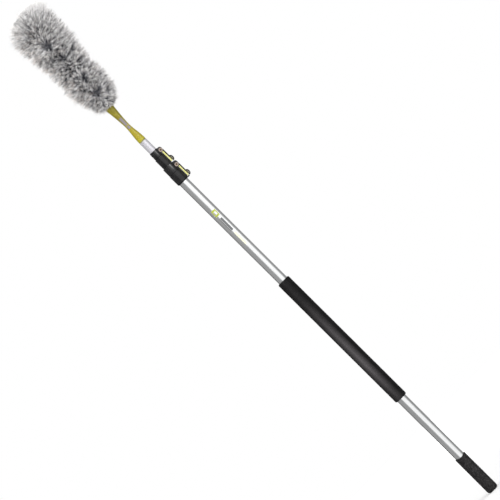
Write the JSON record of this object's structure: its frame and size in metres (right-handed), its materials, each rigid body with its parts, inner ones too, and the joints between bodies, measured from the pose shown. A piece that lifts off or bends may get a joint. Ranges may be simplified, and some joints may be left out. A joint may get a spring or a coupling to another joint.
{
  "type": "feather duster",
  "caption": "Fluffy microfibre duster on a telescopic aluminium pole with two flip-lever clamps, a foam hand grip and a screw-on bendable head.",
  "frame": {"origin": "centre of the foam hand grip, on the pole's axis", "axes": "+Z along the pole towards the duster; +X towards the clamp levers"},
  "size_m": [0.166, 0.166, 2.0175],
  "materials": {
    "tube": "satin",
    "end_grip": "matte",
    "foam": "matte",
    "clamp": "satin",
    "lever": "satin",
    "cover": "satin",
    "shoe": "matte",
    "steel": "satin",
    "bush": "satin",
    "insert": "satin",
    "gasket": "matte",
    "socket": "satin",
    "wire": "satin",
    "pile": "matte"
  },
  "bodies": {
    "pole_base": {"outer_tube": "tube", "foam_grip": "foam", "end_grip": "end_grip", "lower_clamp_body": "clamp", "lower_clamp_screw": "steel", "lower_lever_pin": "steel", "lower_pin_washer": "steel"},
    "lower_lever": {"lower_lever_core": "lever", "lower_lever_cover": "cover"},
    "lower_shoe": {"lower_clamp_shoe": "shoe"},
    "mid_guide": {"mid_guide_bush": "bush"},
    "mid_section": {"mid_tube": "tube", "upper_clamp_body": "clamp", "upper_clamp_screw": "steel", "upper_lever_pin": "steel", "upper_pin_washer": "steel"},
    "upper_lever": {"upper_lever_core": "lever", "upper_lever_cover": "cover"},
    "upper_shoe": {"upper_clamp_shoe": "shoe"},
    "tip_guide": {"tip_guide_bush": "bush"},
    "tip_section": {"tip_tube": "tube", "threaded_tip": "insert", "tip_rivet": "steel"},
    "gasket_ring": {"socket_gasket": "gasket"},
    "duster_head": {"duster_socket": "socket", "pile_ferrule": "insert", "core_wire_1": "wire", "pile_1": "pile"},
    "pile_section_2": {"core_wire_2": "wire", "pile_2": "pile"},
    "pile_section_3": {"core_wire_3": "wire", "pile_3": "pile"},
    "pile_section_4": {"core_wire_4": "wire", "pile_4": "pile"},
    "pile_section_5": {"core_wire_5": "wire", "pile_5": "pile", "wire_cap": "insert"}
  },
  "joints": [
    {"name": "mid_slide", "type": "slide", "parent": "pole_base", "child": "mid_guide", "axis": [0, 0, 1], "range_m": [0, 1.07]},
    {"name": "mid_turn", "type": "hinge", "parent": "mid_guide", "child": "mid_section", "pos_m": [0, 0, 0], "axis": [0, 0, 1], "continuous": true},
    {"name": "tip_slide", "type": "slide", "parent": "mid_section", "child": "tip_guide", "axis": [0, 0, 1], "range_m": [0, 1.07]},
    {"name": "tip_turn", "type": "hinge", "parent": "tip_guide", "child": "tip_section", "pos_m": [0, 0, 0], "axis": [0, 0, 1], "continuous": true},
    {"name": "lower_lever_flip", "type": "hinge", "parent": "pole_base", "child": "lower_lever", "pos_m": [0.0223, 0, 0.7224], "axis": [0, -1, 0], "range_deg": [0, 110]},
    {"name": "lower_shoe_release", "type": "slide", "parent": "pole_base", "child": "lower_shoe", "axis": [1, 0, 0], "range_m": [0, 0.0007]},
    {"name": "upper_lever_flip", "type": "hinge", "parent": "mid_section", "child": "upper_lever", "pos_m": [0.0194, 0, 0.7869], "axis": [0, -1, 0], "range_deg": [0, 110]},
    {"name": "upper_shoe_release", "type": "slide", "parent": "mid_section", "child": "upper_shoe", "axis": [1, 0, 0], "range_m": [0, 0.0007]},
    {"name": "head_lift", "type": "slide", "parent": "tip_section", "child": "gasket_ring", "axis": [0, 0, 1], "range_m": [0, 0.0203]},
    {"name": "head_unscrew", "type": "hinge", "parent": "gasket_ring", "child": "duster_head", "pos_m": [0, 0, 0.8431], "axis": [0, 0, 1], "range_deg": [0, 1440]},
    {"name": "head_bend_1", "type": "hinge", "parent": "duster_head", "child": "pile_section_2", "pos_m": [0, 0, 1.052], "axis": [0, 1, 0], "range_deg": [-12, 12]},
    {"name": "head_bend_2", "type": "hinge", "parent": "pile_section_2", "child": "pile_section_3", "pos_m": [0, 0, 1.133], "axis": [0, 1, 0], "range_deg": [-12, 12]},
    {"name": "head_bend_3", "type": "hinge", "parent": "pile_section_3", "child": "pile_section_4", "pos_m": [0, 0, 1.195], "axis": [0, 1, 0], "range_deg": [-12, 12]},
    {"name": "head_bend_4", "type": "hinge", "parent": "pile_section_4", "child": "pile_section_5", "pos_m": [0, 0, 1.256], "axis": [0, 1, 0], "range_deg": [-12, 12]}
  ],
  "couplings": [
    {"joint": "lower_shoe_release", "follows": "lower_lever_flip", "m_per_rad": 0.00036},
    {"joint": "upper_shoe_release", "follows": "upper_lever_flip", "m_per_rad": 0.00036},
    {"joint": "head_unscrew", "follows": "head_lift", "rad_per_m": 1236.8},
    {"joint": "head_bend_2", "follows": "head_bend_1", "ratio": 1},
    {"joint": "head_bend_3", "follows": "head_bend_1", "ratio": 1},
    {"joint": "head_bend_4", "follows": "head_bend_1", "ratio": 1}
  ]
}
